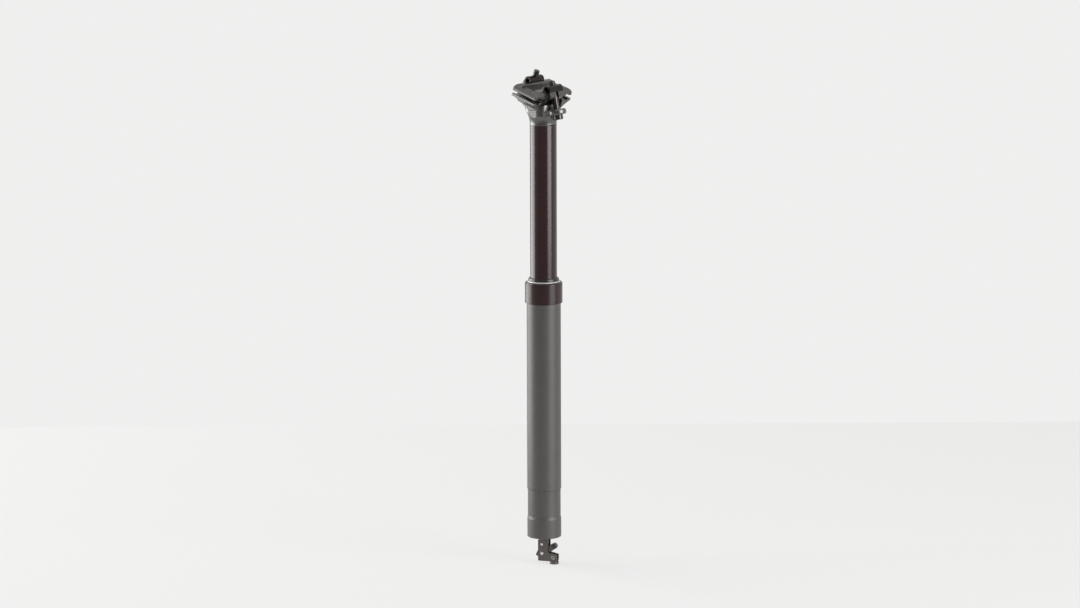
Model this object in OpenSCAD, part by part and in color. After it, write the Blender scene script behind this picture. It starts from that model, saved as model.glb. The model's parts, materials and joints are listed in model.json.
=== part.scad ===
// Dropper seatpost with a two-bolt saddle clamp, shown extended.
// The origin lies on the post's axis where the collar meets the seat tube; +Z is up and -Y is forward.

/* [Lower tube] */
// Outer diameter of the lower tube, which the seat tube takes
lower_d = 34.9; // [34:0.1:36]
// Bore of the lower tube
lower_bore_d = 30.4; // [30:0.1:30.8]
// Depth of the narrowed band
band_step = 0.6; // [0.3:0.05:0.9]
// Length of the narrowed band
band_len = 28.2; // [20:0.1:34]
// Length of the cone under the narrowed band
band_cone_len = 2.8; // [2:0.1:6]
// Depth of the foot section below the full diameter
foot_step = 0.05; // [0.05:0.05:0.3]
// Length of the foot section
foot_len = 19.4; // [15:0.1:24]
// Chamfer on the tube's bottom edge
foot_chamfer = 0.8; // [0.3:0.1:1.5]
// Thickness of the plug that closes the bottom
plug_len = 11.9; // [8:0.1:14]
// Length of the threaded neck inside the collar
neck_len = 14; // [10:0.5:16]
// Depth of the threaded neck below the full diameter
neck_step = 0.75; // [0.5:0.05:0.9]

/* [Collar and wiper] */
// Diameter of the collar
collar_d = 38.4; // [37.5:0.1:42]
// Height of the collar
collar_len = 22.1; // [20:0.1:26]
// Height of the rounded band round the collar's top
collar_chamfer = 1.9; // [1:0.1:2.2]
// How far the collar's top draws in
collar_draw = 2.4; // [1.6:0.1:2.4]
// Width of the groove under the chamfer
collar_groove_w = 0.8; // [0.4:0.1:1.2]
// Depth of the groove under the chamfer
collar_groove_depth = 0.5; // [0.2:0.1:0.8]
// Thickness of the bright ring on the collar
ring_t = 0.8; // [0.6:0.1:2]
// How far the bright ring stands in from the collar's edge
ring_inset = 2.6; // [2.4:0.1:3]
// Height of the wiper lip above the ring
wiper_len = 3.3; // [3:0.1:6]
// Wall of the wiper lip at its widest
wiper_wall = 2.3; // [1.8:0.1:2.4]

/* [Upper tube] */
// Outer diameter of the stanchion
upper_d = 27.4; // [27:0.1:28]
// Bore of the stanchion
upper_bore_d = 23.4; // [22.8:0.1:24]
// Height of the head's seam above the collar's underside
head_z = 183.5; // [175:0.5:215]
// Travel of the post
travel = 150; // [120:1:150]
// Length of stanchion held inside the lower tube when extended
upper_hold = 78; // [74:1:80]
// Length of the upper bushing
upper_bushing_len = 33; // [20:1:40]
// Length of the lower bushing
lower_bushing_len = 12; // [8:1:14]
// Width of a guide key
key_w = 3.8; // [3:0.1:4.4]
// Length of a guide key
key_len = 11.6; // [8:0.1:14]
// Depth of a key's seat in the stanchion
key_seat = 0.8; // [0.5:0.1:1.1]
// Reach of a key into the lower tube's groove
key_reach = 0.65; // [0.4:0.05:0.8]
// Number of guide keys
key_count = 3; // [2:1:4]

/* [Cartridge] */
// Outer diameter of the cartridge body
cartridge_d = 22; // [21:0.1:22.4]
// Wall of the cartridge body
cartridge_wall = 1.5; // [1:0.1:2]
// Diameter of the hollow rod
rod_d = 9; // [8:0.1:10]
// Bore of the hollow rod
rod_bore_d = 3; // [2.8:0.1:3.4]
// Diameter of the release pin
pin_d = 2.4; // [2:0.1:2.5]
// Length of the seal head
seal_head_len = 12; // [8:0.5:14]
// Length of the retaining ring
retainer_len = 8; // [5:0.5:10]
// Length of the main piston
piston_len = 8; // [6:0.5:10]
// Height of the top-out bumper
top_bumper_len = 7.4; // [4:0.1:10]
// Height of the bottom-out bumper
bottom_bumper_len = 3.2; // [2:0.1:5]
// Length of the floating piston
floating_len = 10; // [8:0.5:12]
// Length of a land at each end of the floating piston
floating_land = 3; // [2:0.5:3.5]
// Radial room that the bumpers leave to the bores and the rod
bumper_room = 1; // [0.6:0.1:1.4]
// Gap left between the pistons when the post is down
floating_gap = 4; // [2:0.5:6]
// Length of the cartridge cap's flange
cap_len = 10; // [6:0.5:14]
// Length of the head's spigot in the stanchion
spigot_len = 37.5; // [30:0.5:40]

/* [Head] */
// Radius of the head's flare
flare_r = 26; // [22:0.5:32]
// Half width of the head's seat block
block_half_w = 15; // [13:0.5:16]
// Half length of the head's seat block
block_half_l = 12; // [10:0.5:13]
// Corner radius of the seat block
block_corner_r = 9; // [5:0.5:10]
// Radius of the front bolt ear
front_ear_r = 9.2; // [8.5:0.1:9.6]
// Radius of the rear bolt ear
rear_ear_r = 7.8; // [7.6:0.1:8.4]
// Thickness of a bolt ear
ear_t = 5.8; // [5:0.1:7]
// Chamfer round a bolt ear
ear_chamfer = 1.3; // [0.6:0.1:1.4]
// Height of the front bolt head's middle above the seam
front_head_rise = 8.6; // [7:0.1:9.4]
// Forward reach of the front bolt head's middle
front_head_reach = 20; // [19:0.5:22]
// Height of the rear bolt head's middle above the seam
rear_head_rise = 19; // [17:0.1:19.4]
// Rearward reach of the rear bolt head's middle
rear_head_reach = 20.5; // [20.3:0.1:22]

/* [Rail clamp] */
// Diameter of a saddle rail
rail_d = 7; // [6.8:0.1:8]
// Distance between the saddle rails' axes
rail_gauge = 44; // [43:0.5:46]
// Tilt of the clamp, front end down
clamp_tilt = 16.5; // [12:0.5:20]
// Height of the rail plane's middle above the head's seam
rail_rise = 30.9; // [30:0.1:34]
// Rearward offset of the clamp's middle
clamp_setback = 2; // [0:0.5:4]
// Radius of the rocking seat about the tilt axis
rocker_r = 15.1; // [14.5:0.1:16]
// Width of one rail channel
channel_w = 13; // [12:0.5:14]
// Length of the rail channels
channel_len = 30.8; // [28:0.2:34]
// Gap between the clamp halves at the rails
clamp_gap = 3.4; // [2.4:0.1:3.8]
// Thickness of the upper clamp's middle plate
plate_t = 3.6; // [3:0.1:4.2]
// Underside of the middle plate above the rail plane
plate_lift = 2.6; // [2:0.1:3.2]
// Thickness of the upper clamp over a rail
roof_t = 1.7; // [1.4:0.1:2.2]
// Height of a channel's two ridges above the groove between them
ridge_rise = 1.6; // [1:0.1:2]
// Radius of the hump that carries a barrel nut
hump_r = 6.5; // [6.2:0.1:7]
// Height of the hump's middle above the rail plane
hump_lift = 5.5; // [5.2:0.1:6]
// Height of the shoulders over the rails above the rail plane
shoulder_lift = 9.4; // [8.8:0.1:9.8]
// Radius on the shoulders' front and rear ends
shoulder_end_r = 4.5; // [3:0.1:5]
// Depth of the lower cradle's keel beside the head
keel_depth = 12; // [10.5:0.1:12.6]
// Hollow of the keel's sweep out to the channel's edge
keel_sag = 0.9; // [0.6:0.1:1.2]
// Height of the channel's outer edge
channel_edge = 4.1; // [3.4:0.1:4.4]

/* [Clamp bolts] */
// Shank diameter of a clamp bolt
bolt_d = 6; // [5:0.5:6]
// Diameter of a bolt head
bolt_head_d = 10; // [8.5:0.1:10.4]
// Height of a bolt head
bolt_head_len = 4.4; // [4:0.1:5.5]
// Key size of the hexagon socket
bolt_key = 5; // [4:0.5:5]
// Length of a bolt under its head
bolt_len = 35.5; // [34.5:0.5:39]
// Thickness of a domed washer
washer_t = 2.2; // [1.8:0.1:2.6]
// Radius of a domed washer's seat
washer_dome_r = 10; // [9:0.1:12]
// Diameter of a barrel nut
nut_d = 9.4; // [9:0.1:10]
// Length of a barrel nut
nut_len = 21; // [19:0.5:22]
// Distance between the barrel nuts
nut_gauge = 26.2; // [25:0.2:28]
// Height of the nuts' axes above the rail plane
nut_lift = 10.2; // [9.8:0.1:11]
// Diameter of the recess in a nut's end
nut_recess_d = 5.2; // [4:0.1:6]
// Depth of the recess in a nut's end
nut_recess_depth = 4; // [2:0.5:6]

/* [Actuator] */
// Angle of the actuator from straight forward
actuator_angle = 22; // [0:1:90]
// Thickness of a bracket plate
plate_thick = 1.5; // [1:0.1:2]
// Gap between the bracket plates
plate_gap = 5.5; // [5:0.1:6]
// Half width of the plates' upright part
upright_half_w = 5.5; // [5:0.1:6]
// Length of the plates below the base
bracket_len = 25.3; // [24:0.1:28]
// Forward reach of the plates' foot
foot_reach = 14.3; // [13.5:0.1:14.5]
// Height of the plates' foot at the upright
foot_h = 8.9; // [7.5:0.1:10]
// Slope of the foot's top edge
foot_slope = 14; // [6:1:16]
// Radius of the plates' lower corners
plate_corner_r = 1.2; // [0.6:0.1:2]
// Diameter of the stem's round part
stem_d = 10.8; // [10.4:0.1:11]
// Length of the stem's round part
stem_collar_len = 3.2; // [2.6:0.1:3.4]
// Drop of the lever's pivot below the base
pivot_drop = 17.5; // [16.5:0.1:18.5]
// Rearward offset of the lever's pivot and the bracket screws
pivot_back = 1.3; // [1:0.1:1.6]
// Diameter of the lever's pivot pin
pivot_d = 3; // [2.4:0.1:3.2]
// Drop of the bracket screws below the base
screw_drop = 8; // [7:0.1:8.2]
// Diameter of the bracket screws
screw_d = 2.6; // [2:0.1:2.8]
// Radius of the lever's cam
cam_r = 3.2; // [3:0.1:3.4]
// Rearward offset of the cam's middle from the pivot
cam_back = 1.7; // [1.5:0.1:1.9]
// Height of the cam's middle above the pivot
cam_up = 2.4; // [2.2:0.1:2.6]
// Forward reach of the lever's round end from the pivot
hook_reach = 12; // [10.5:0.1:12.2]
// Height of the lever's round end above the pivot
hook_up = 7.7; // [7.4:0.1:8.6]
// Radius of the lever's round end
hook_r = 3.1; // [2.8:0.1:3.2]
// Radius of the lever round its pivot
boss_r = 3.4; // [3:0.1:3.6]
// Rearward reach of the lever's tail from the pivot
tail_reach = 5.4; // [4.6:0.1:5.6]
// Drop of the lever's tail below the pivot
tail_drop = 1.6; // [1:0.1:1.8]
// Radius of the lever's tail
tail_r = 1.6; // [1.4:0.1:1.8]
// Diameter of the cable anchor barrel
anchor_d = 3.6; // [3.2:0.1:3.8]
// Length of the cable anchor barrel
anchor_len = 7; // [6:0.1:8]
// Diameter of the control cable's passage
cable_d = 1.7; // [1.4:0.1:1.8]
// Diameter of the cable housing's seat
housing_d = 5.1; // [4.6:0.1:5.4]
// Depth of the cable housing's seat
housing_seat = 2.6; // [2:0.1:3]
// Wall round the cable housing's seat
stop_wall = 2; // [1:0.1:2.2]
// Forward place of the cable stop
stop_reach = 10.7; // [10.4:0.1:10.8]
// Height of the cable stop's bosses above the plates' bottom
stop_rise = 4; // [3.6:0.1:4.2]
// Radius of the cable stop's bosses
stop_boss_r = 1.9; // [1.5:0.1:2]

/* [Fits] */
// Radial clearance of a running or sliding fit
run_fit = 0.05; // [0.02:0.01:0.08]
// Radial clearance of a fixed fit
seat_fit = 0.02; // [0.01:0.01:0.04]
// Gap between the release pin's tip and the cam at rest
tip_gap = 0.15; // [0.1:0.05:0.2]
// Gap between curved faces that move past each other
move_gap = 0.3; // [0.25:0.05:0.4]

/* [Hidden] */
$fn = 72;

// Overlap that keeps cuts clean
cut = 1;
// Bevel on turned edges
edge = 0.5;
// Gap that keeps fixed neighbours apart
small_gap = 0.2;
// Step in degrees between the points of a turned round
round_step = 15;
// Floor of the stem's socket for the rod
stem_floor = edge;
// Share of an end's radius at which a bar's edge meets it
bar_grip = 0.985;

// Radii and levels of the lower tube
lower_r = lower_d / 2;
lower_bore_r = lower_bore_d / 2;
band_r = lower_r - band_step;
foot_r = lower_r - foot_step;
neck_r = lower_r - neck_step;
// The tube is as deep as the travel, the held stanchion, the bumper and the plug ask for
upper_bottom = -upper_hold;
bottom_bumper_top = upper_bottom - travel - move_gap;
plug_top = bottom_bumper_top - bottom_bumper_len;
base_z = plug_top - plug_len;
foot_top = base_z + foot_len;
cone_top = foot_top + band_cone_len;
band_top = cone_top + band_len;

// Radii and levels of the collar and the wiper
collar_r = collar_d / 2;
ring_r = collar_r - ring_inset;
ring_top = collar_len + ring_t;
wiper_body_r = lower_bore_r - 2 * seat_fit;
wiper_groove_z = collar_len - collar_chamfer - collar_groove_w;

// Radii and levels of the stanchion
upper_r = upper_d / 2;
upper_bore_r = upper_bore_d / 2;
key_bottom = upper_bottom + lower_bushing_len + key_w;
key_inner_r = upper_r - key_seat;
key_outer_r = lower_bore_r + key_reach;
key_groove_r = key_outer_r + 3 * run_fit;
key_groove_w = key_w + 4 * run_fit;

// Radii and levels of the cartridge
cartridge_r = cartridge_d / 2;
cartridge_bore_r = cartridge_r - cartridge_wall;
cartridge_bottom = upper_bottom + retainer_len;
cartridge_top = head_z - spigot_len - cap_len;
rod_r = rod_d / 2;
rod_bore_r = rod_bore_d / 2;
seal_head_top = cartridge_bottom + seal_head_len;
bumper_bottom = seal_head_top + move_gap;
piston_bottom = bumper_bottom + top_bumper_len;
piston_top = piston_bottom + piston_len;
// The floating piston rises by the volume that the rod takes up
floating_ratio = pow(rod_r / cartridge_bore_r, 2);
floating_bottom = piston_top + travel * (1 - floating_ratio) + floating_gap;
rod_bottom = base_z - stem_collar_len + stem_floor;

// Levels of the head and the clamp
rail_z = head_z + rail_rise;
rail_r = rail_d / 2;
seat_r = rocker_r + move_gap;
block_top = rail_z - sqrt(pow(seat_r, 2) - pow(block_half_l, 2));
nut_r = nut_d / 2;
nut_y = nut_gauge / 2;
bolt_r = bolt_d / 2;
bolt_hole_r = bolt_r + 3 * move_gap;
nut_hole_r = bolt_r + move_gap;
channel_x = rail_gauge / 2;
channel_outer = channel_x + channel_w / 2;
channel_inner = channel_x - channel_w / 2;
// Room under a nut that lets its bolt swing
swing_r = bolt_r + 5 * move_gap;
// The upper clamp's levels, and the round of its shoulders down to the channel's edge
clamp_bottom = clamp_gap / 2;
groove_z = rail_r + roof_t;
saddle_half_w = nut_len / 2 - edge;
shoulder_r = shoulder_lift - clamp_bottom;

// A point of the clamp's own YZ plane in the post's YZ plane
function clamp_point(y, z) = [
    clamp_setback + y * cos(clamp_tilt) - z * sin(clamp_tilt),
    rail_z + y * sin(clamp_tilt) + z * cos(clamp_tilt)
];
// How far an ear runs inward from its bolt
function ear_reach(head, ear_r) = abs(head[0]) - ear_r / 2;
// Angle of the line from one YZ point up to another, from +Z towards +Y
function lean(from, to) = atan2(to[0] - from[0], to[1] - from[1]);

front_nut = clamp_point(-nut_y, nut_lift);
rear_nut = clamp_point(nut_y, nut_lift);
front_head = [-front_head_reach, head_z + front_head_rise];
rear_head = [rear_head_reach, head_z + rear_head_rise];
front_lean = lean(front_head, front_nut);
rear_lean = lean(rear_head, rear_nut);
// Heights above a bolt head's middle: the middle of its washer's dome, and its ear's underside
dome_z = bolt_head_len / 2 + washer_t - washer_dome_r;
ear_z = bolt_head_len / 2 + 2 * move_gap;
spot_r = bolt_head_d / 2 + 4 * move_gap;
spot_depth = front_ear_r + bolt_head_len;

// Places in the actuator, as forward and upward distances from the post's axis at its origin
plate_mid = (plate_gap + plate_thick) / 2;
lever_t = plate_gap - 2 * move_gap;
pivot_z = base_z - pivot_drop;
screw_z = base_z - screw_drop;
plates_top = base_z - stem_collar_len - small_gap;
plates_bottom = base_z - bracket_len;
foot_top_z = plates_bottom + foot_h;
stop_z = plates_bottom + stop_rise;
stem_bottom = screw_z - screw_d / 2 - edge;
cam_at = [-pivot_back - cam_back, pivot_z + cam_up];
pivot_at = [-pivot_back, pivot_z];
hook_at = [hook_reach - pivot_back, pivot_z + hook_up];
tail_at = [-pivot_back - tail_reach, pivot_z - tail_drop];
pin_r = pin_d / 2;
// The pin's round tip rests just clear of the cam
tip_touch = pow(cam_r + pin_r + tip_gap, 2) - pow(cam_at[0], 2);
pin_bottom = cam_at[1] + sqrt(tip_touch) - pin_r;
// Forward room beside the pin, from the post's axis
pin_room = 2 * pin_r;

// Colours of the finishes
satin_grey = "#4b4a49";
dark_grey = "#353433";
gloss_black = "#1b1918";
bolt_black = "#232222";
bright = "#c8c8c6";
rubber_black = "#151515";
bronze = "#b08d4a";

// A plain ring between two levels
module ring(outer, inner, bottom, top) {
    translate([0, 0, bottom])
        difference() {
            cylinder(r = outer, h = top - bottom);
            translate([0, 0, -cut]) cylinder(r = inner, h = top - bottom + 2 * cut);
        }
}

// The straight part of a flat bar whose corners lie just inside two round ends
module bar(p, p_r, q, q_r) {
    heading = atan2(q[1] - p[1], q[0] - p[0]);
    spread = acos((p_r - q_r) / norm(q - p));
    left = bar_grip * [cos(heading + spread), sin(heading + spread)];
    right = bar_grip * [cos(heading - spread), sin(heading - spread)];
    polygon([p + p_r * left, q + q_r * left, q + q_r * right, p + p_r * right]);
}

// A flat bar with round ends of two radii
module link(p, p_r, q, q_r) {
    bar(p, p_r, q, q_r);
    translate(p) circle(r = p_r);
    translate(q) circle(r = q_r);
}

// A rectangle about the origin with round corners
module round_rect(half_w, half_l, corner_r) {
    square([2 * half_w, 2 * (half_l - corner_r)], center = true);
    square([2 * (half_w - corner_r), 2 * half_l], center = true);
    for (x = [-1, 1])
        for (y = [-1, 1])
            translate([x * (half_w - corner_r), y * (half_l - corner_r)]) circle(r = corner_r);
}

// Extrudes an outline of side and height along Y, about the middle
module along_y(len) {
    rotate([90, 0, 0]) linear_extrude(len, center = true) children();
}

// Extrudes an outline of length and height along X, about the middle
module along_x(len) {
    rotate([90, 0, 90]) linear_extrude(len, center = true) children();
}

// The rail clamp's own frame: its middle is on the tilt axis, and its Y follows the rails
module clamp_frame() {
    translate([0, clamp_setback, rail_z]) rotate([clamp_tilt, 0, 0]) children();
}

// A clamp bolt's own frame: its Z runs up the bolt from the middle of the head
module bolt_frame(head, angle) {
    translate([0, head[0], head[1]]) rotate([-angle, 0, 0]) children();
}

// The actuator's own frame: its X points along the foot
module actuator_frame() {
    rotate([0, 0, actuator_angle - 90]) children();
}

module lower_tube() {
    color(satin_grey)
        difference() {
            rotate_extrude()
                polygon([
                    [lower_bore_r, neck_len], [neck_r, neck_len], [neck_r, 0], [lower_r, 0],
                    [lower_r, band_top], [band_r, band_top - band_step], [band_r, cone_top],
                    [foot_r, foot_top], [foot_r, base_z + foot_chamfer],
                    [foot_r - foot_chamfer, base_z], [lower_bore_r, base_z]
                ]);
            groove_bottom = key_bottom - travel - key_w / 2;
            groove_top = neck_len - upper_bushing_len;
            for (i = [0 : key_count - 1])
                rotate([0, 0, 90 + i * 360 / key_count])
                    translate([0, -key_groove_w / 2, groove_bottom])
                        cube([key_groove_r, key_groove_w, groove_top - groove_bottom]);
        }
}

module seal_collar() {
    color(gloss_black)
        rotate_extrude()
            polygon([
                [neck_r + seat_fit, 0], [collar_r - edge, 0], [collar_r, edge], [collar_r, wiper_groove_z],
                [collar_r - collar_groove_depth, wiper_groove_z],
                [collar_r - collar_groove_depth, wiper_groove_z + collar_groove_w],
                for (a = [0 : round_step : 90])
                    [collar_r - collar_draw * (1 - cos(a)), collar_len - collar_chamfer * (1 - sin(a))],
                [lower_bore_r, collar_len], [lower_bore_r, neck_len + seat_fit],
                [neck_r + seat_fit, neck_len + seat_fit]
            ]);
}

module collar_ring() {
    color(bright)
        rotate_extrude()
            polygon([
                [lower_bore_r, collar_len], [ring_r, collar_len], [ring_r, ring_top - edge],
                [ring_r - edge, ring_top], [lower_bore_r, ring_top]
            ]);
}

module wiper_seal() {
    lip_top = ring_top + wiper_len;
    bead_z = lip_top - wiper_len / 2;
    wiper_r = upper_r + wiper_wall;
    relief_r = upper_r + 2 * move_gap;
    seat_z = neck_len + 2 * seat_fit;
    color(rubber_black)
        rotate_extrude()
            polygon([
                [upper_r + run_fit, lip_top], [upper_r + run_fit, lip_top - 2 * edge], [relief_r, bead_z],
                [relief_r, seat_z], [wiper_body_r, seat_z], [wiper_body_r, ring_top + small_gap],
                [wiper_r, ring_top + small_gap], [wiper_r, ring_top + small_gap + edge],
                [relief_r + 2 * edge, lip_top - edge], [upper_r + 1.5 * edge, lip_top]
            ]);
}

module upper_bushing() {
    color(dark_grey)
        ring(lower_bore_r - seat_fit, upper_r + run_fit, neck_len - upper_bushing_len, neck_len);
}

module lower_bushing() {
    color(dark_grey)
        ring(lower_bore_r - run_fit, upper_r + seat_fit, upper_bottom, upper_bottom + lower_bushing_len);
}

module guide_keys() {
    color(bronze)
        for (i = [0 : key_count - 1])
            rotate([0, 0, 90 + i * 360 / key_count])
                translate([key_inner_r + seat_fit, -key_w / 2, key_bottom])
                    cube([key_outer_r - key_inner_r - seat_fit, key_w, key_len]);
}

module upper_tube() {
    color(gloss_black)
        difference() {
            ring(upper_r, upper_bore_r, upper_bottom, head_z);
            for (i = [0 : key_count - 1])
                rotate([0, 0, 90 + i * 360 / key_count])
                    translate([key_inner_r, -key_w / 2 - seat_fit, key_bottom - seat_fit])
                        cube([lower_r, key_w + 2 * seat_fit, key_len + 2 * seat_fit]);
        }
}

// The flare that grows from the stanchion, turned about the post's axis
module head_flare() {
    flare_x = upper_r + flare_r;
    flare_h = block_top - head_z;
    translate([0, 0, head_z])
        difference() {
            cylinder(r = block_half_w + flare_r, h = flare_h);
            rotate_extrude()
                difference() {
                    translate([upper_r, -cut]) square([2 * flare_r, flare_h + 2 * cut]);
                    intersection() {
                        translate([upper_r, 0]) square([2 * flare_r, flare_h]);
                        difference() {
                            square([2 * flare_x, 2 * flare_r]);
                            translate([flare_x, 0]) circle(r = flare_r, $fn = 180);
                        }
                    }
                }
        }
}

// One ear of the head, square to its bolt, with the flare's curve carried out under it
module bolt_ear(head, angle, inward, ear_r) {
    root_r = ear_r + ear_t / 2;
    rim_r = ear_r - ear_chamfer;
    bolt_frame(head, angle)
        translate([0, 0, ear_z]) {
            rotate_extrude()
                polygon([
                    [0, 0], [rim_r, 0], [ear_r, ear_chamfer], [ear_r, ear_t - ear_chamfer], [rim_r, ear_t],
                    [0, ear_t]
                ]);
            linear_extrude(ear_t) link([0, 0], rim_r, [0, inward * ear_reach(head, ear_r)], root_r);
        }
    intersection() {
        head_flare();
        translate([0, 0, head_z]) linear_extrude(rail_rise) link([0, head[0]], ear_r, [0, 0], root_r);
        bolt_frame(head, angle)
            translate([0, 0, ear_z + ear_t - rail_rise]) cylinder(r = 2 * rail_rise, h = rail_rise);
    }
}

// Room for one bolt, its domed washer and its head under an ear
module bolt_room(head, angle) {
    bolt_frame(head, angle) {
        cylinder(r = bolt_hole_r, h = rail_rise);
        intersection() {
            translate([0, 0, dome_z]) sphere(r = washer_dome_r + move_gap, $fn = 120);
            cylinder(r = bolt_head_d / 2 + 3 * move_gap, h = rail_rise);
        }
        translate([0, 0, ear_z - spot_depth]) cylinder(r = spot_r, h = spot_depth);
    }
}

module clamp_head() {
    color(satin_grey)
        difference() {
            union() {
                intersection() {
                    head_flare();
                    translate([0, clamp_setback, head_z])
                        linear_extrude(rail_rise)
                            round_rect(block_half_w, block_half_l + clamp_setback, block_corner_r);
                }
                translate([0, 0, head_z - spigot_len])
                    cylinder(r = upper_bore_r - seat_fit, h = spigot_len + cut);
                intersection() {
                    union() {
                        bolt_ear(front_head, front_lean, 1, front_ear_r);
                        bolt_ear(rear_head, rear_lean, -1, rear_ear_r);
                    }
                    translate([0, 0, head_z + edge]) cylinder(r = 3 * block_half_w, h = rail_rise);
                }
            }
            translate([-2 * block_half_w, clamp_setback, rail_z])
                rotate([0, 90, 0]) cylinder(r = seat_r, h = 4 * block_half_w, $fn = 120);
            bolt_room(front_head, front_lean);
            bolt_room(rear_head, rear_lean);
        }
}

// Outline of one rail channel of the lower cradle, whose underside sweeps down to a keel beside the head
module cradle_outline() {
    root = block_half_w + edge;
    from = [channel_outer, -channel_edge];
    to = [root, -keel_depth];
    chord = norm(to - from);
    sweep_r = pow(chord, 2) / (8 * keel_sag) + keel_sag / 2;
    outward = [from[1] - to[1], to[0] - from[0]] / chord;
    difference() {
        translate([root, -keel_depth - edge])
            square([channel_outer - root, keel_depth + edge - clamp_bottom]);
        translate((from + to) / 2 + (sweep_r - keel_sag) * outward) circle(r = sweep_r, $fn = 180);
        translate([channel_x, 0]) circle(r = rail_r);
    }
}

module lower_cradle() {
    notch_y = nut_y - bolt_hole_r - 2 * edge;
    rocker_half_w = block_half_w + edge;
    pocket_half_l = notch_y - roof_t;
    color(satin_grey)
        clamp_frame()
            difference() {
                union() {
                    for (side = [0, 1])
                        mirror([side, 0, 0]) along_y(channel_len) cradle_outline();
                    intersection() {
                        rotate([0, 90, 0])
                            cylinder(r = rocker_r, h = 2 * rocker_half_w, center = true, $fn = 120);
                        translate([0, 0, -clamp_bottom - rocker_r])
                            cube([3 * rocker_half_w, 2 * block_half_l, 2 * rocker_r], center = true);
                    }
                }
                for (y = [-1, 1])
                    translate([0, y * (notch_y + rocker_r), -rocker_r])
                        cube([2 * bolt_hole_r + 2 * edge, 2 * rocker_r, 4 * rocker_r], center = true);
                translate([0, 0, -clamp_bottom])
                    cube([channel_inner, 2 * pocket_half_l, channel_edge * 2], center = true);
            }
}

// Outline of one rail channel of the upper clamp, with two lengthwise ridges
module upper_channel_outline() {
    ridge_r = channel_w / 4;
    ridge_z = groove_z + ridge_rise - ridge_r;
    translate([channel_inner, 0]) square([channel_w, ridge_z]);
    translate([channel_inner + ridge_r, 0]) square([2 * ridge_r, groove_z]);
    for (x = [channel_inner + ridge_r, channel_outer - ridge_r])
        translate([x, ridge_z]) circle(r = ridge_r);
}

// Outline of one shoulder of the upper clamp, from beside a nut out over the rail
module shoulder_outline() {
    round_x = channel_outer - shoulder_r;
    translate([saddle_half_w - cut, 0]) square([round_x - saddle_half_w + cut, shoulder_lift]);
    intersection() {
        translate([round_x, clamp_bottom]) circle(r = shoulder_r, $fn = 120);
        translate([round_x - cut, 0]) square([2 * shoulder_r, shoulder_lift]);
    }
}

// Side outlines of the two humps that carry the nuts
module hump_outlines() {
    for (y = [-nut_y, nut_y])
        translate([y, hump_lift]) circle(r = hump_r);
}

// Room in the upper clamp for one nut and the bolt that swings with it
module nut_room(y, angle) {
    translate([0, y, nut_lift]) {
        rotate([0, 90, 0]) cylinder(r = nut_r + run_fit, h = nut_len + 2 * small_gap, center = true);
        rotate([180 - angle - clamp_tilt, 0, 0]) cylinder(r = swing_r, h = channel_len);
    }
}

module upper_clamp() {
    plate_half_w = channel_inner + edge;
    color(dark_grey)
        clamp_frame()
            difference() {
                union() {
                    intersection() {
                        union() {
                            for (side = [0, 1])
                                mirror([side, 0, 0]) {
                                    along_y(channel_len) upper_channel_outline();
                                    intersection() {
                                        along_y(channel_len) shoulder_outline();
                                        along_x(2 * rail_gauge) hump_outlines();
                                    }
                                }
                            translate([-plate_half_w, -channel_len / 2, plate_lift])
                                cube([2 * plate_half_w, channel_len, plate_t]);
                        }
                        along_x(2 * rail_gauge) round_rect(channel_len / 2, shoulder_lift, shoulder_end_r);
                    }
                    along_x(2 * saddle_half_w) hump_outlines();
                }
                translate([0, 0, clamp_bottom - channel_len])
                    cube([2 * rail_gauge, 2 * channel_len, 2 * channel_len], center = true);
                for (x = [-channel_x, channel_x])
                    translate([x, 0, 0])
                        rotate([90, 0, 0]) cylinder(r = rail_r, h = 2 * channel_len, center = true);
                nut_room(-nut_y, front_lean);
                nut_room(nut_y, rear_lean);
            }
}

// A crosswise barrel nut on the clamp, bored along its bolt
module barrel_nut(y, angle) {
    at = clamp_point(y, nut_lift);
    half = nut_len / 2;
    color(bolt_black)
        translate([0, at[0], at[1]])
            rotate([-angle, 0, 0])
                difference() {
                    rotate([0, 90, 0])
                        rotate_extrude()
                            polygon([
                                [0, -half], [nut_r - edge, -half], [nut_r, edge - half], [nut_r, half - edge],
                                [nut_r - edge, half], [0, half]
                            ]);
                    cylinder(r = nut_hole_r, h = 2 * nut_d, center = true);
                    for (side = [0, 1])
                        mirror([side, 0, 0])
                            translate([half - nut_recess_depth, 0, 0])
                                rotate([0, 90, 0]) cylinder(d = nut_recess_d, h = nut_len);
                }
}

module front_barrel_nut() {
    barrel_nut(-nut_y, front_lean);
}

module rear_barrel_nut() {
    barrel_nut(nut_y, rear_lean);
}

// A socket-head bolt from its head up through a nut
module clamp_bolt(head, angle) {
    half = bolt_head_len / 2;
    tip = half + bolt_len;
    color(bolt_black)
        bolt_frame(head, angle)
            difference() {
                rotate_extrude()
                    polygon([
                        [0, -half], [bolt_head_d / 2 - edge, -half], [bolt_head_d / 2, edge - half],
                        [bolt_head_d / 2, half], [bolt_r, half], [bolt_r, tip - edge],
                        [bolt_r - edge, tip], [0, tip]
                    ]);
                translate([0, 0, -half - cut]) cylinder(d = bolt_key / cos(30), h = cut + half, $fn = 6);
            }
}

module front_clamp_bolt() {
    clamp_bolt(front_head, front_lean);
}

module rear_clamp_bolt() {
    clamp_bolt(rear_head, rear_lean);
}

// A washer with a domed top that rocks in its ear
module bolt_washer(head, angle) {
    color(bolt_black)
        bolt_frame(head, angle)
            difference() {
                intersection() {
                    translate([0, 0, dome_z]) sphere(r = washer_dome_r, $fn = 120);
                    translate([0, 0, bolt_head_len / 2]) cylinder(d = bolt_head_d, h = washer_dome_r);
                }
                cylinder(r = bolt_r + seat_fit, h = 2 * washer_dome_r);
            }
}

module front_bolt_washer() {
    bolt_washer(front_head, front_lean);
}

module rear_bolt_washer() {
    bolt_washer(rear_head, rear_lean);
}

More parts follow.
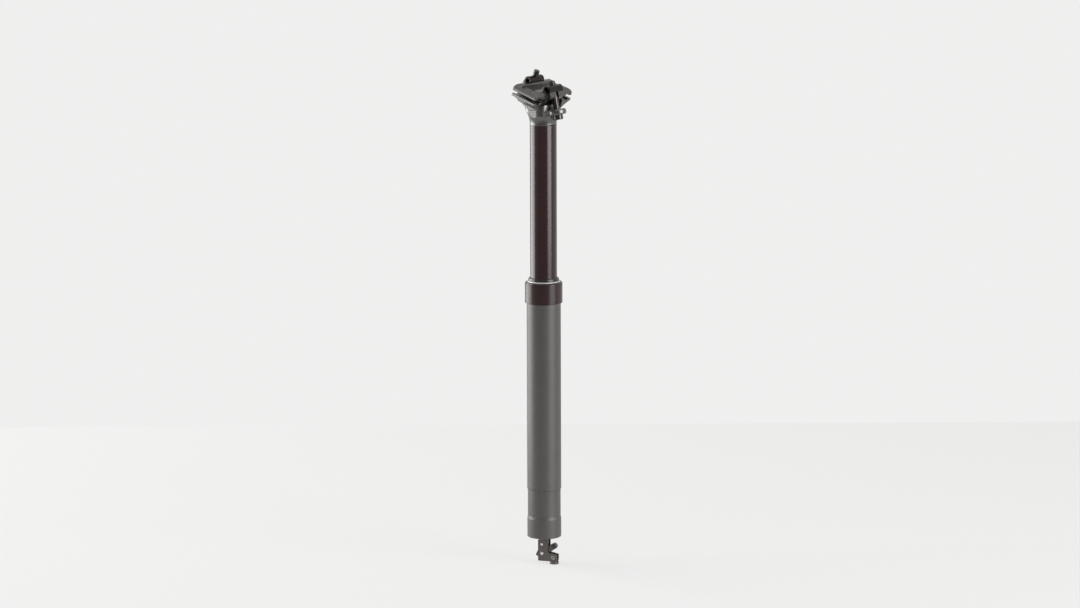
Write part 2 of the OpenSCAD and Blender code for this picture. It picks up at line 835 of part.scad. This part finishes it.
module cartridge_body() {
    color("silver") ring(cartridge_r, cartridge_bore_r, cartridge_bottom, cartridge_top);
}

module cartridge_cap() {
    color("silver") {
        translate([0, 0, cartridge_top]) cylinder(r = upper_bore_r - seat_fit, h = cap_len);
        translate([0, 0, cartridge_top - cap_len])
            cylinder(r = cartridge_bore_r - seat_fit, h = cap_len + cut);
    }
}

module cartridge_seal_head() {
    color("gray") ring(cartridge_bore_r - seat_fit, rod_r + run_fit, cartridge_bottom, seal_head_top);
}

module cartridge_retainer() {
    color("silver") ring(upper_bore_r - seat_fit, rod_r + 2 * edge, upper_bottom, cartridge_bottom);
}

module cartridge_rod() {
    color("silver") ring(rod_r, rod_bore_r, rod_bottom, piston_bottom + piston_len / 2);
}

module cartridge_piston() {
    socket_top = piston_bottom + piston_len / 2;
    color(bronze)
        difference() {
            translate([0, 0, piston_bottom]) cylinder(r = cartridge_bore_r - run_fit, h = piston_len);
            translate([0, 0, piston_bottom - cut]) cylinder(r = rod_r + seat_fit, h = piston_len / 2 + cut);
            translate([0, 0, socket_top - cut]) cylinder(r = rod_bore_r, h = piston_len);
        }
}

module floating_piston() {
    color(bronze)
        difference() {
            translate([0, 0, floating_bottom]) cylinder(r = cartridge_bore_r - run_fit, h = floating_len);
            ring(
                2 * cartridge_r, cartridge_bore_r - 2 * edge,
                floating_bottom + floating_land, floating_bottom + floating_len - floating_land
            );
        }
}

module release_pin() {
    color("silver") {
        translate([0, 0, pin_bottom + pin_r]) sphere(r = pin_r);
        translate([0, 0, pin_bottom + pin_r])
            cylinder(r = pin_r, h = piston_bottom + piston_len / 4 - pin_bottom);
    }
}

module top_out_bumper() {
    color(rubber_black) ring(cartridge_bore_r - bumper_room, rod_r + run_fit, bumper_bottom, piston_bottom);
}

module bottom_out_bumper() {
    color(rubber_black) ring(upper_bore_r - bumper_room, rod_r + bumper_room, plug_top, bottom_bumper_top);
}

module base_plug() {
    color(dark_grey) ring(lower_bore_r - seat_fit, rod_r + seat_fit, base_z, plug_top);
}

module actuator_stem() {
    tongue_back = upright_half_w - 1.5 * edge;
    color(dark_grey)
        difference() {
            union() {
                translate([0, 0, base_z - stem_collar_len]) cylinder(d = stem_d, h = stem_collar_len);
                actuator_frame()
                    translate([-tongue_back, seat_fit - plate_gap / 2, stem_bottom])
                        cube([tongue_back + pin_room, plate_gap - 2 * seat_fit, base_z - stem_bottom]);
            }
            translate([0, 0, rod_bottom - seat_fit]) cylinder(r = rod_r + seat_fit, h = 2 * stem_collar_len);
            translate([0, 0, stem_bottom - cut]) cylinder(r = rod_bore_r, h = 2 * bracket_len);
            actuator_frame() bracket_screw_room();
        }
}

// Blind holes for the bracket screws, from both sides
module bracket_screw_room() {
    for (side = [-1, 1])
        translate([-pivot_back, side * (rod_bore_r + edge), screw_z])
            rotate([-90 * side, 0, 0]) cylinder(d = screw_d + 2 * seat_fit, h = plate_gap);
}

// Outline of a bracket plate: an upright with a foot that reaches forward
module plate_outline() {
    corner = plate_corner_r;
    foot_end_drop = (foot_reach - upright_half_w) * tan(foot_slope);
    difference() {
        union() {
            translate([-upright_half_w, plates_bottom + corner])
                square([2 * upright_half_w, plates_top - plates_bottom - corner]);
            translate([-upright_half_w + corner, plates_bottom])
                square([foot_reach + upright_half_w - 2 * corner, corner]);
            translate([-upright_half_w + corner, plates_bottom + corner]) circle(r = corner);
            translate([foot_reach - corner, plates_bottom + corner]) circle(r = corner);
            polygon([
                [0, plates_bottom + corner], [foot_reach, plates_bottom + corner],
                [foot_reach, foot_top_z - foot_end_drop], [upright_half_w, foot_top_z], [0, foot_top_z]
            ]);
        }
        translate(pivot_at) circle(r = pivot_d / 2 + seat_fit);
        translate([-pivot_back, screw_z]) circle(r = screw_d / 2 + seat_fit);
        translate([stop_reach, stop_z]) circle(r = stop_boss_r + seat_fit);
    }
}

module bracket_plate(side) {
    color(dark_grey)
        actuator_frame()
            translate([0, side * plate_mid, 0]) along_y(plate_thick) plate_outline();
}

module bracket_plate_left() {
    bracket_plate(-1);
}

module bracket_plate_right() {
    bracket_plate(1);
}

// Screws that hold the plates to the stem and stand a little proud
module bracket_screws() {
    inner = rod_bore_r + edge + small_gap;
    outer = plate_gap / 2 + plate_thick + edge;
    color(bright)
        actuator_frame()
            for (side = [-1, 1])
                translate([-pivot_back, side * inner, screw_z])
                    rotate([-90 * side, 0, 0]) cylinder(d = screw_d, h = outer - inner);
}

module lever_pivot_pin() {
    pin_len = plate_gap + 2 * (plate_thick + edge);
    color(bright)
        actuator_frame()
            translate([-pivot_back, 0, pivot_z])
                rotate([90, 0, 0]) cylinder(d = pivot_d, h = pin_len, center = true);
}

module actuator_lever() {
    slot_w = cable_d + 2 * move_gap;
    color(dark_grey)
        actuator_frame()
            difference() {
                union() {
                    difference() {
                        along_y(lever_t) link(pivot_at, boss_r, hook_at, hook_r);
                        translate([-foot_reach, -lever_t, pin_bottom - move_gap])
                            cube([foot_reach + pin_room, 2 * lever_t, foot_reach]);
                    }
                    along_y(lever_t) link(cam_at, cam_r, tail_at, tail_r);
                }
                along_y(2 * lever_t) translate(pivot_at) circle(r = pivot_d / 2 + run_fit);
                along_y(2 * lever_t) translate(hook_at) circle(r = anchor_d / 2 + run_fit);
                translate([hook_at[0] - slot_w / 2, -slot_w / 2, hook_at[1] - 2 * hook_r])
                    cube([2 * hook_r, slot_w, 2 * hook_r]);
            }
}

module cable_anchor() {
    color(bolt_black)
        actuator_frame()
            translate([hook_at[0], 0, hook_at[1]])
                difference() {
                    rotate([90, 0, 0]) cylinder(d = anchor_d, h = anchor_len, center = true);
                    cylinder(d = cable_d, h = 2 * anchor_d, center = true);
                    rotate([90, 0, 0]) cylinder(d = anchor_d / 2 + 2 * seat_fit, h = anchor_len);
                }
}

module anchor_screw() {
    color(bolt_black)
        actuator_frame()
            translate([hook_at[0], -cable_d / 2, hook_at[1]])
                rotate([90, 0, 0])
                    difference() {
                        cylinder(d = anchor_d / 2, h = anchor_len / 2 - cable_d / 2);
                        translate([0, 0, anchor_len / 4]) cylinder(d = anchor_d / 4, h = anchor_len, $fn = 6);
                    }
}

module cable_stop() {
    cup_r = housing_d / 2 + stop_wall;
    cup_top = plates_bottom - small_gap;
    cup_bottom = cup_top - housing_seat - small_gap;
    barrel_r = plate_gap / 2 - small_gap / 2;
    barrel_top = stop_z + stop_boss_r + small_gap / 2;
    boss_len = plate_gap + 2 * plate_thick + edge;
    color(dark_grey)
        actuator_frame()
            translate([stop_reach, 0, 0])
                difference() {
                    union() {
                        translate([0, 0, cup_bottom]) cylinder(r = cup_r, h = cup_top - cup_bottom);
                        translate([0, 0, cup_bottom]) cylinder(r = barrel_r, h = barrel_top - cup_bottom);
                        translate([0, 0, stop_z])
                            rotate([90, 0, 0]) cylinder(r = stop_boss_r, h = boss_len, center = true);
                    }
                    translate([0, 0, cup_bottom - cut]) cylinder(d = housing_d, h = housing_seat + cut);
                    translate([0, 0, cup_bottom - cut]) cylinder(d = cable_d, h = bracket_len);
                }
}

lower_tube();
seal_collar();
collar_ring();
wiper_seal();
upper_bushing();
lower_bushing();
guide_keys();
upper_tube();
clamp_head();
lower_cradle();
upper_clamp();
front_barrel_nut();
rear_barrel_nut();
front_clamp_bolt();
rear_clamp_bolt();
front_bolt_washer();
rear_bolt_washer();
cartridge_body();
cartridge_cap();
cartridge_seal_head();
cartridge_retainer();
cartridge_rod();
cartridge_piston();
floating_piston();
release_pin();
top_out_bumper();
bottom_out_bumper();
base_plug();
actuator_stem();
bracket_plate_left();
bracket_plate_right();
bracket_screws();
lever_pivot_pin();
actuator_lever();
cable_anchor();
anchor_screw();
cable_stop();
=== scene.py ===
# Looks of the dropper seatpost: finishes, bolt threads, cable stop rims, studio light and the camera
import json
import math

import bpy
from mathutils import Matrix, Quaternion, Vector


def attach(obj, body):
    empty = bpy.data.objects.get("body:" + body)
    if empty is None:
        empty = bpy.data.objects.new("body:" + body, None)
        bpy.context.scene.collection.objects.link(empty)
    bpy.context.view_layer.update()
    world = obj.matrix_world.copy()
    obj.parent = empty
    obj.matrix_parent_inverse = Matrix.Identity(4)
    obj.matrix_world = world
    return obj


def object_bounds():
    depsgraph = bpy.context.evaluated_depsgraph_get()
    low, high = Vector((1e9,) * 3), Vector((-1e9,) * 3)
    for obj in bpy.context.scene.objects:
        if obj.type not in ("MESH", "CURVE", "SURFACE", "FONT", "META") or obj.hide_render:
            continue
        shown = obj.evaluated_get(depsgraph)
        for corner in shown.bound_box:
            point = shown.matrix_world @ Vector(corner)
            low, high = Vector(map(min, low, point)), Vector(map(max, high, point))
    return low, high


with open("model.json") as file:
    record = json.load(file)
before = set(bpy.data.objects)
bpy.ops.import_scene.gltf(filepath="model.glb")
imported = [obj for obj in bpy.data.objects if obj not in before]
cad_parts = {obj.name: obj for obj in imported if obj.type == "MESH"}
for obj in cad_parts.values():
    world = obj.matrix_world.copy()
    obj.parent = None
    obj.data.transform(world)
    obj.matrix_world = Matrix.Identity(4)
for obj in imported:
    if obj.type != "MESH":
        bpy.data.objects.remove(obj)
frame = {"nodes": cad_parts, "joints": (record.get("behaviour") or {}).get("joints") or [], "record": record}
cad_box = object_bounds()
nodes = frame["nodes"]
scene = bpy.context.scene

# Lengths are in metres and angles in degrees, unless a name says otherwise
UP = Vector((0, 0, 1))

# Camera: the photograph's width and the focal length in its pixels, and the view of the post
PHOTO_W = 1080
FOCAL_PX = 6375
SENSOR_MM = 36.0
VIEW_AZIMUTH = -49.6
VIEW_ELEVATION = 10.0
VIEW_DISTANCE = 6.5
# The height on the post's axis that the camera looks at, and how far it looks past the axis to the left
AIM_HEIGHT = -0.0017
AIM_LEFT = 0.0038
# The camera's lean to the right, which lets the post lean to the left in the picture
VIEW_LEAN = 0.16
CLIP_NEAR = 0.05
CLIP_FAR = 50

# Floor: half its side, the turn that keeps its far edge level in the picture, and its surface
FLOOR_REACH = 0.74
FLOOR_TURN = 0.78
FLOOR_TONE = (0.80, 0.80, 0.795, 1)
FLOOR_ROUGHNESS = 0.9
FLOOR_SHINE = 0.1
# How much of the floor's look is the backdrop's tone, the rest being lit and shaded
FLOOR_GLOW = 0.75

# World: what the camera sees behind the post, and the plain fill that lights it
BACKDROP_TONE = (0.865, 0.865, 0.86, 1)
FILL_TONE = (1.0, 0.99, 0.98, 1)
FILL_STRENGTH = 0.4
# The studio's dim side behind the camera, as reflections show it, and how directly a ray has to point
# there, as a cosine, for the dimming to start and to be complete
ROOM_TONE = (0.26, 0.255, 0.25, 1)
ROOM_START = -0.1
ROOM_FULL = 0.75

# Area lights, with the azimuth measured from the camera's
SOFTBOXES = {
    "left softbox": dict(azimuth=-108, elevation=12, distance=2.6, width=2.6, height=2.4, watts=108),
    "right softbox": dict(azimuth=54, elevation=10, distance=2.4, width=1.5, height=1.6, watts=50),
    "top softbox": dict(azimuth=-20, elevation=72, distance=1.8, width=1.4, height=1.4, watts=6),
}

# Noise in the finishes: soft clouds in the tone, fine grain in the roughness and the relief
CLOUD_SCALE = 60
CLOUD_DETAIL = 3.0
GRAIN_DETAIL = 4.0
GRAIN_DEPTH = 0.00001
# The part of the noise's range that is used, because values near 0 and 1 are rare
NOISE_LOW = 0.3
NOISE_HIGH = 0.7
# Rays that look for the edges to soften
EDGE_SAMPLES = 6
# Stretch of the noise: even, or pressed along the post into the rings that turning leaves
EVEN = (1, 1, 1)
TURNED = (1, 1, 14)
# Sockets of a Mix node that mixes colours, by number because their names repeat
MIX_A = 6
MIX_B = 7
MIX_RESULT = 2

# Lighter band at the lower tube's top and, under it, a fine dark line of painted groove shade: levels, line
# width and factors
BAND_BOTTOM = -0.0045
BAND_TOP = -0.0005
GROOVE_SHADE_WIDTH = 0.0003
BAND_LIGHTER = 1.12
GROOVE_SHADE_FACTOR = 0.7

# Thread on the clamp bolts: core and crest radius, pitch, half width of a ridge and steps in a turn
THREAD_CORE = 0.00296
THREAD_CREST = 0.0031
THREAD_PITCH = 0.001
THREAD_HALF_W = 0.0004
THREAD_STEPS = 28
# A ridge's section has a point on the core at each side and one on the crest
RIDGE_POINTS = 3
# The thread starts below the nut's middle and ends short of the bolt's tip
THREAD_START = -0.008
THREAD_END_GAP = 0.0008

# Rim round each of the cable stop's bosses: its height above the plates' bottom, radius, wire and steps
RIM_RISE = 0.004
RIM_R = 0.0015
RIM_WIRE_R = 0.00032
RIM_STEPS = 32
RIM_WIRE_STEPS = 10

# Each finish: its darkest and lightest tone, its range of roughness, and what departs from finish's defaults
LOOKS = {
    "lower_anodised": dict(dark=(0.061, 0.056, 0.055), light=(0.068, 0.063, 0.0615), rough=(0.40, 0.46),
                           metallic=0.1, specular=0.6, grain=1600, strength=0.1),
    "stanchion_anodised": dict(dark=(0.022, 0.0085, 0.0085), light=(0.026, 0.0105, 0.0105),
                               rough=(0.17, 0.20), specular=0.44, grain=500, strength=0.01, stretch=TURNED),
    "collar_black": dict(dark=(0.021, 0.0085, 0.009), light=(0.025, 0.0105, 0.011), rough=(0.24, 0.29),
                         specular=0.42, grain=700, strength=0.02, stretch=TURNED, soft_edge=0.00015),
    "collar_trim": dict(dark=(0.60, 0.59, 0.58), light=(0.66, 0.65, 0.64), rough=(0.42, 0.50),
                        metallic=0.5, grain=1200, strength=0.05, stretch=TURNED),
    "head_anodised": dict(dark=(0.136, 0.132, 0.127), light=(0.152, 0.148, 0.143), rough=(0.25, 0.31),
                          metallic=0.92, grain=2200, strength=0.15, soft_edge=0.0008),
    "clamp_anodised": dict(dark=(0.100, 0.095, 0.091), light=(0.118, 0.113, 0.108), rough=(0.22, 0.30),
                           metallic=0.8, grain=2200, strength=0.12, soft_edge=0.0008),
    "bolt_steel": dict(dark=(0.056, 0.051, 0.050), light=(0.070, 0.064, 0.063), rough=(0.13, 0.19),
                       metallic=0.9, grain=1500, strength=0.05, soft_edge=0.0003),
    "nut_steel": dict(dark=(0.027, 0.020, 0.020), light=(0.034, 0.026, 0.026), rough=(0.18, 0.26),
                      metallic=0.8, grain=1500, strength=0.08, soft_edge=0.0003),
    "bright_steel": dict(dark=(0.60, 0.60, 0.59), light=(0.72, 0.72, 0.71), rough=(0.2, 0.3),
                         metallic=1.0, grain=1500, strength=0.08, soft_edge=0.0002),
    "bracket_steel": dict(dark=(0.105, 0.095, 0.088), light=(0.125, 0.114, 0.106), rough=(0.34, 0.44),
                          metallic=0.85, grain=1400, strength=0.15, soft_edge=0.0003),
    "rubber": dict(dark=(0.012, 0.009, 0.009), light=(0.015, 0.012, 0.012), rough=(0.22, 0.30),
                   grain=1800, strength=0.1),
    "bushing_plastic": dict(dark=(0.055, 0.055, 0.057), light=(0.066, 0.066, 0.068), rough=(0.45, 0.55)),
    "brass": dict(dark=(0.46, 0.32, 0.12), light=(0.53, 0.38, 0.15), rough=(0.25, 0.35), metallic=1.0),
    "inner_aluminium": dict(dark=(0.55, 0.55, 0.56), light=(0.63, 0.63, 0.64), rough=(0.3, 0.4),
                            metallic=1.0, stretch=TURNED),
}

# Nodes that are blackened further than the rest of their slot
DARKER_NODES = {"front_barrel_nut": "nut_steel", "rear_barrel_nut": "nut_steel"}


def toward(azimuth, elevation):
    """Unit vector from the post to a viewer at these angles."""
    around = math.radians(azimuth)
    above = math.radians(elevation)
    level = math.cos(above)
    return Vector((math.sin(around) * level, -math.cos(around) * level, math.sin(above)))


def add_camera():
    """The photograph's camera, without shift."""
    back = toward(VIEW_AZIMUTH, VIEW_ELEVATION)
    right = toward(VIEW_AZIMUTH + 90, 0)
    data = bpy.data.cameras.new("camera")
    data.sensor_width = SENSOR_MM
    data.lens = FOCAL_PX / PHOTO_W * SENSOR_MM
    data.clip_start = CLIP_NEAR
    data.clip_end = CLIP_FAR
    camera = bpy.data.objects.new("camera", data)
    scene.collection.objects.link(camera)
    aim = UP * AIM_HEIGHT - right * AIM_LEFT
    camera.location = aim + back * VIEW_DISTANCE
    lean = Quaternion(UP, math.radians(-VIEW_LEAN))
    camera.rotation_euler = ((-back).to_track_quat("-Z", "Y") @ lean).to_euler()
    scene.camera = camera


def new_material(name):
    """A node material with its tree and its Principled shader."""
    material = bpy.data.materials.new(name)
    material.use_nodes = True
    tree = material.node_tree
    return material, tree, tree.nodes["Principled BSDF"]


def add_node(tree, kind, **values):
    """A node with its properties set."""
    node = tree.nodes.new(kind)
    for key, value in values.items():
        setattr(node, key, value)
    return node


def object_coords(tree, stretch):
    """Object coordinates in metres, scaled per axis."""
    coords = add_node(tree, "ShaderNodeTexCoord")
    mapping = add_node(tree, "ShaderNodeMapping")
    mapping.inputs["Scale"].default_value = stretch
    tree.links.new(coords.outputs["Object"], mapping.inputs["Vector"])
    return mapping.outputs["Vector"]


def noise(tree, vector, scale, detail):
    """Procedural noise, 0 to 1."""
    texture = add_node(tree, "ShaderNodeTexNoise")
    texture.inputs["Scale"].default_value = scale
    texture.inputs["Detail"].default_value = detail
    tree.links.new(vector, texture.inputs["Vector"])
    return texture.outputs["Fac"]


def spread(tree, value, low, high):
    """Maps noise about its middle to a range."""
    node = add_node(tree, "ShaderNodeMapRange")
    node.inputs["From Min"].default_value = NOISE_LOW
    node.inputs["From Max"].default_value = NOISE_HIGH
    node.inputs["To Min"].default_value = low
    node.inputs["To Max"].default_value = high
    tree.links.new(value, node.inputs["Value"])
    return node.outputs["Result"]


def tone(tree, value, dark, light):
    """A colour between two tones by noise about its middle."""
    ramp = add_node(tree, "ShaderNodeValToRGB")
    start, end = ramp.color_ramp.elements
    start.position = NOISE_LOW
    start.color = (*dark, 1)
    end.position = NOISE_HIGH
    end.color = (*light, 1)
    tree.links.new(value, ramp.inputs["Fac"])
    return ramp.outputs["Color"]


def relief(tree, shader, value, strength, soft_edge):
    """Fine relief on the shader's normal, over edges that are softened by a radius."""
    node = add_node(tree, "ShaderNodeBump")
    node.inputs["Strength"].default_value = strength
    node.inputs["Distance"].default_value = GRAIN_DEPTH
    tree.links.new(value, node.inputs["Height"])
    if soft_edge:
        rounded = add_node(tree, "ShaderNodeBevel", samples=EDGE_SAMPLES)
        rounded.inputs["Radius"].default_value = soft_edge
        tree.links.new(rounded.outputs["Normal"], node.inputs["Normal"])
    tree.links.new(node.outputs["Normal"], shader.inputs["Normal"])


def finish(name, dark, light, rough, metallic=0.0, specular=0.5, grain=900, strength=0.2, stretch=EVEN,
           soft_edge=0.0):
    """A finish with mottled tone, uneven roughness and fine grain."""
    material, tree, shader = new_material(name)
    shader.inputs["Metallic"].default_value = metallic
    shader.inputs["Specular IOR Level"].default_value = specular
    vector = object_coords(tree, stretch)
    cloud = noise(tree, vector, CLOUD_SCALE, CLOUD_DETAIL)
    fine = noise(tree, vector, grain, GRAIN_DETAIL)
    tree.links.new(tone(tree, cloud, dark, light), shader.inputs["Base Color"])
    tree.links.new(spread(tree, fine, *rough), shader.inputs["Roughness"])
    relief(tree, shader, fine, strength, soft_edge)
    return material


def between(tree, height, low, high):
    """1 where a height lies between two levels, otherwise 0."""
    above = add_node(tree, "ShaderNodeMath", operation="GREATER_THAN")
    below = add_node(tree, "ShaderNodeMath", operation="LESS_THAN")
    inside = add_node(tree, "ShaderNodeMath", operation="MULTIPLY")
    above.inputs[1].default_value = low
    below.inputs[1].default_value = high
    tree.links.new(height, above.inputs[0])
    tree.links.new(height, below.inputs[0])
    tree.links.new(above.outputs["Value"], inside.inputs[0])
    tree.links.new(below.outputs["Value"], inside.inputs[1])
    return inside.outputs["Value"]


def add_band_and_groove_shade(material):
    """A lighter band at the top of the lower tube, with a fine dark line of painted shade under it that
    stands for an engraved groove.
    """
    tree = material.node_tree
    shader = tree.nodes["Principled BSDF"]
    colour = shader.inputs["Base Color"].links[0].from_socket
    coords = add_node(tree, "ShaderNodeTexCoord")
    split = add_node(tree, "ShaderNodeSeparateXYZ")
    tree.links.new(coords.outputs["Object"], split.inputs["Vector"])
    band = (BAND_BOTTOM, BAND_TOP, BAND_LIGHTER)
    # The dark line is painted shade, where an engraved groove would hold shadow
    groove_shade = (BAND_BOTTOM - GROOVE_SHADE_WIDTH, BAND_BOTTOM, GROOVE_SHADE_FACTOR)
    for low, high, factor in (band, groove_shade):
        scale = add_node(tree, "ShaderNodeMix", data_type="RGBA", blend_type="MULTIPLY", clamp_result=False)
        tree.links.new(between(tree, split.outputs["Z"], low, high), scale.inputs["Factor"])
        tree.links.new(colour, scale.inputs[MIX_A])
        scale.inputs[MIX_B].default_value = (factor, factor, factor, 1)
        colour = scale.outputs[MIX_RESULT]
    tree.links.new(colour, shader.inputs["Base Color"])


def dress_nodes():
    """Each node takes the finish of its slot in the record, apart from the darker ones."""
    for row in frame["record"]["subparts"]:
        piece = nodes[row["node"]]
        piece.data.materials.clear()
        piece.data.materials.append(FINISHES[DARKER_NODES.get(row["node"], row["material_slot"])])


def joint_row(name):
    """A joint's row in the frame."""
    return next(row for row in frame["joints"] if row["name"] == name)


def corners(name):
    """The points of a node's mesh, at rest."""
    node = nodes[name]
    return [node.matrix_world @ vertex.co for vertex in node.data.vertices]


def ring_faces(first, second, count):
    """Faces between two closed rings of points, which start at these places in the list."""
    faces = []
    for step in range(count):
        after = (step + 1) % count
        faces.append((first + step, second + step, second + after, first + after))
    return faces


def add_piece(name, points, faces, body, slot):
    """A mesh that rides on a body and has its slot's finish."""
    mesh = bpy.data.meshes.new(name)
    mesh.from_pydata(points, [], faces)
    mesh.materials.append(FINISHES[slot])
    piece = bpy.data.objects.new(name, mesh)
    scene.collection.objects.link(piece)
    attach(piece, body)
    return mesh


def add_thread(end):
    """A cut thread on one clamp bolt, from below its nut's middle to near its tip."""
    nut = Vector(joint_row(end + "_nut_turn")["pos_m"])
    swing = Vector(joint_row(end + "_bolt_swing")["pos_m"])
    axis = (nut - swing).normalized()
    side = Vector((1, 0, 0))
    front = axis.cross(side)
    tip = max((corner - nut).dot(axis) for corner in corners(end + "_clamp_bolt"))
    length = tip - THREAD_END_GAP - THREAD_START
    count = int(length / THREAD_PITCH * THREAD_STEPS)
    points = []
    for step in range(count + 1):
        turn = math.tau * step / THREAD_STEPS
        out = side * math.cos(turn) + front * math.sin(turn)
        along = THREAD_START + THREAD_PITCH * step / THREAD_STEPS
        taper = min(1, step / THREAD_STEPS, (count - step) / THREAD_STEPS)
        crest = THREAD_CORE + (THREAD_CREST - THREAD_CORE) * taper
        for radius, shift in ((THREAD_CORE, -THREAD_HALF_W), (crest, 0), (THREAD_CORE, THREAD_HALF_W)):
            points.append(nut + axis * (along + shift) + out * radius)
    last = RIDGE_POINTS * count
    faces = [tuple(range(RIDGE_POINTS)), tuple(reversed(range(last, last + RIDGE_POINTS)))]
    for step in range(count):
        faces += ring_faces(RIDGE_POINTS * step, RIDGE_POINTS * (step + 1), RIDGE_POINTS)
    add_piece(end + "_thread", points, faces, end + "_bolt", "bolt_steel")


def add_stop_rims():
    """Bright rims on the outer faces of the actuator's plates, round the cable stop's bosses."""
    across = Vector(joint_row("lever_turn")["axis"])
    ahead = UP.cross(across)
    plates = corners("bracket_plate_left") + corners("bracket_plate_right")
    housing = next(row for row in frame["record"]["mounts"] if row["name"] == "cable_housing")
    middle = Vector(housing["pos_m"])
    middle.z = min(corner.z for corner in plates) + RIM_RISE
    for side, outermost in (("left", max), ("right", min)):
        face = middle + across * outermost((corner - middle).dot(across) for corner in plates)
        points = []
        faces = []
        for step in range(RIM_STEPS):
            turn = math.tau * step / RIM_STEPS
            out = ahead * math.cos(turn) + UP * math.sin(turn)
            for wire_step in range(RIM_WIRE_STEPS):
                roll = math.tau * wire_step / RIM_WIRE_STEPS
                reach = RIM_R + RIM_WIRE_R * math.cos(roll)
                points.append(face + out * reach + across * RIM_WIRE_R * math.sin(roll))
            after = (step + 1) % RIM_STEPS
            faces += ring_faces(step * RIM_WIRE_STEPS, after * RIM_WIRE_STEPS, RIM_WIRE_STEPS)
        rim = add_piece("stop_rim_" + side, points, faces, "lower", "bright_steel")
        rim.shade_smooth()


def seen_rays(tree):
    """1 for rays that show the stage: the camera's, reflections and sight through glass."""
    path = add_node(tree, "ShaderNodeLightPath")
    mirrored = add_node(tree, "ShaderNodeMath", operation="MAXIMUM")
    seen = add_node(tree, "ShaderNodeMath", operation="MAXIMUM")
    tree.links.new(path.outputs["Is Glossy Ray"], mirrored.inputs[0])
    tree.links.new(path.outputs["Is Transmission Ray"], mirrored.inputs[1])
    tree.links.new(mirrored.outputs["Value"], seen.inputs[0])
    tree.links.new(path.outputs["Is Camera Ray"], seen.inputs[1])
    return seen.outputs["Value"]


def add_floor():
    """A square pale floor, turned to face the camera."""
    half = FLOOR_REACH
    mesh = bpy.data.meshes.new("floor")
    outline = [(-half, -half, 0), (half, -half, 0), (half, half, 0), (-half, half, 0)]
    mesh.from_pydata(outline, [], [(0, 1, 2, 3)])
    floor = bpy.data.objects.new("floor", mesh)
    floor.location.z = cad_box[0][2]
    floor.rotation_euler.z = math.radians(VIEW_AZIMUTH + FLOOR_TURN)
    scene.collection.objects.link(floor)
    material, tree, shader = new_material("floor")
    shader.inputs["Base Color"].default_value = FLOOR_TONE
    shader.inputs["Roughness"].default_value = FLOOR_ROUGHNESS
    shader.inputs["Specular IOR Level"].default_value = FLOOR_SHINE
    glow = add_node(tree, "ShaderNodeEmission")
    glow.inputs["Color"].default_value = BACKDROP_TONE
    share = add_node(tree, "ShaderNodeMath", operation="MULTIPLY")
    share.inputs[1].default_value = FLOOR_GLOW
    mix = add_node(tree, "ShaderNodeMixShader")
    tree.links.new(seen_rays(tree), share.inputs[0])
    tree.links.new(share.outputs["Value"], mix.inputs["Fac"])
    tree.links.new(shader.outputs["BSDF"], mix.inputs[1])
    tree.links.new(glow.outputs["Emission"], mix.inputs[2])
    tree.links.new(mix.outputs["Shader"], tree.nodes["Material Output"].inputs["Surface"])
    mesh.materials.append(material)


def light_world():
    """Pale to the camera, pale with a dim front to reflections, and a plain fill for the rest."""
    world = bpy.data.worlds.new("studio")
    world.use_nodes = True
    scene.world = world
    tree = world.node_tree
    fill = tree.nodes["Background"]
    fill.inputs["Color"].default_value = FILL_TONE
    fill.inputs["Strength"].default_value = FILL_STRENGTH
    coords = add_node(tree, "ShaderNodeTexCoord")
    facing = add_node(tree, "ShaderNodeVectorMath", operation="DOT_PRODUCT")
    facing.inputs[1].default_value = toward(VIEW_AZIMUTH, 0)
    tree.links.new(coords.outputs["Generated"], facing.inputs[0])
    dim = add_node(tree, "ShaderNodeMapRange")
    dim.inputs["From Min"].default_value = ROOM_START
    dim.inputs["From Max"].default_value = ROOM_FULL
    tree.links.new(facing.outputs["Value"], dim.inputs["Value"])
    path = add_node(tree, "ShaderNodeLightPath")
    dim_mirror = add_node(tree, "ShaderNodeMath", operation="MULTIPLY")
    tree.links.new(dim.outputs["Result"], dim_mirror.inputs[0])
    tree.links.new(path.outputs["Is Glossy Ray"], dim_mirror.inputs[1])
    room = add_node(tree, "ShaderNodeMix", data_type="RGBA")
    room.inputs[MIX_A].default_value = BACKDROP_TONE
    room.inputs[MIX_B].default_value = ROOM_TONE
    tree.links.new(dim_mirror.outputs["Value"], room.inputs["Factor"])
    seen = add_node(tree, "ShaderNodeBackground")
    tree.links.new(room.outputs[MIX_RESULT], seen.inputs["Color"])
    mix = add_node(tree, "ShaderNodeMixShader")
    tree.links.new(seen_rays(tree), mix.inputs["Fac"])
    tree.links.new(fill.outputs["Background"], mix.inputs[1])
    tree.links.new(seen.outputs["Background"], mix.inputs[2])
    tree.links.new(mix.outputs["Shader"], tree.nodes["World Output"].inputs["Surface"])


def add_softbox(name, azimuth, elevation, distance, width, height, watts):
    """An area light that faces the post from an angle measured from the camera's."""
    back = toward(VIEW_AZIMUTH + azimuth, elevation)
    data = bpy.data.lights.new(name, "AREA")
    data.shape = "RECTANGLE"
    data.size = width
    data.size_y = height
    data.energy = watts
    light = bpy.data.objects.new(name, data)
    light.location = back * distance
    light.rotation_euler = back.to_track_quat("Z", "Y").to_euler()
    scene.collection.objects.link(light)


FINISHES = {name: finish(name, **look) for name, look in LOOKS.items()}

add_camera()
dress_nodes()
add_band_and_groove_shade(FINISHES["lower_anodised"])
add_thread("front")
add_thread("rear")
add_stop_rims()
add_floor()
light_world()
for box_name, box in SOFTBOXES.items():
    add_softbox(box_name, **box)
scene.view_settings.view_transform = "Standard"
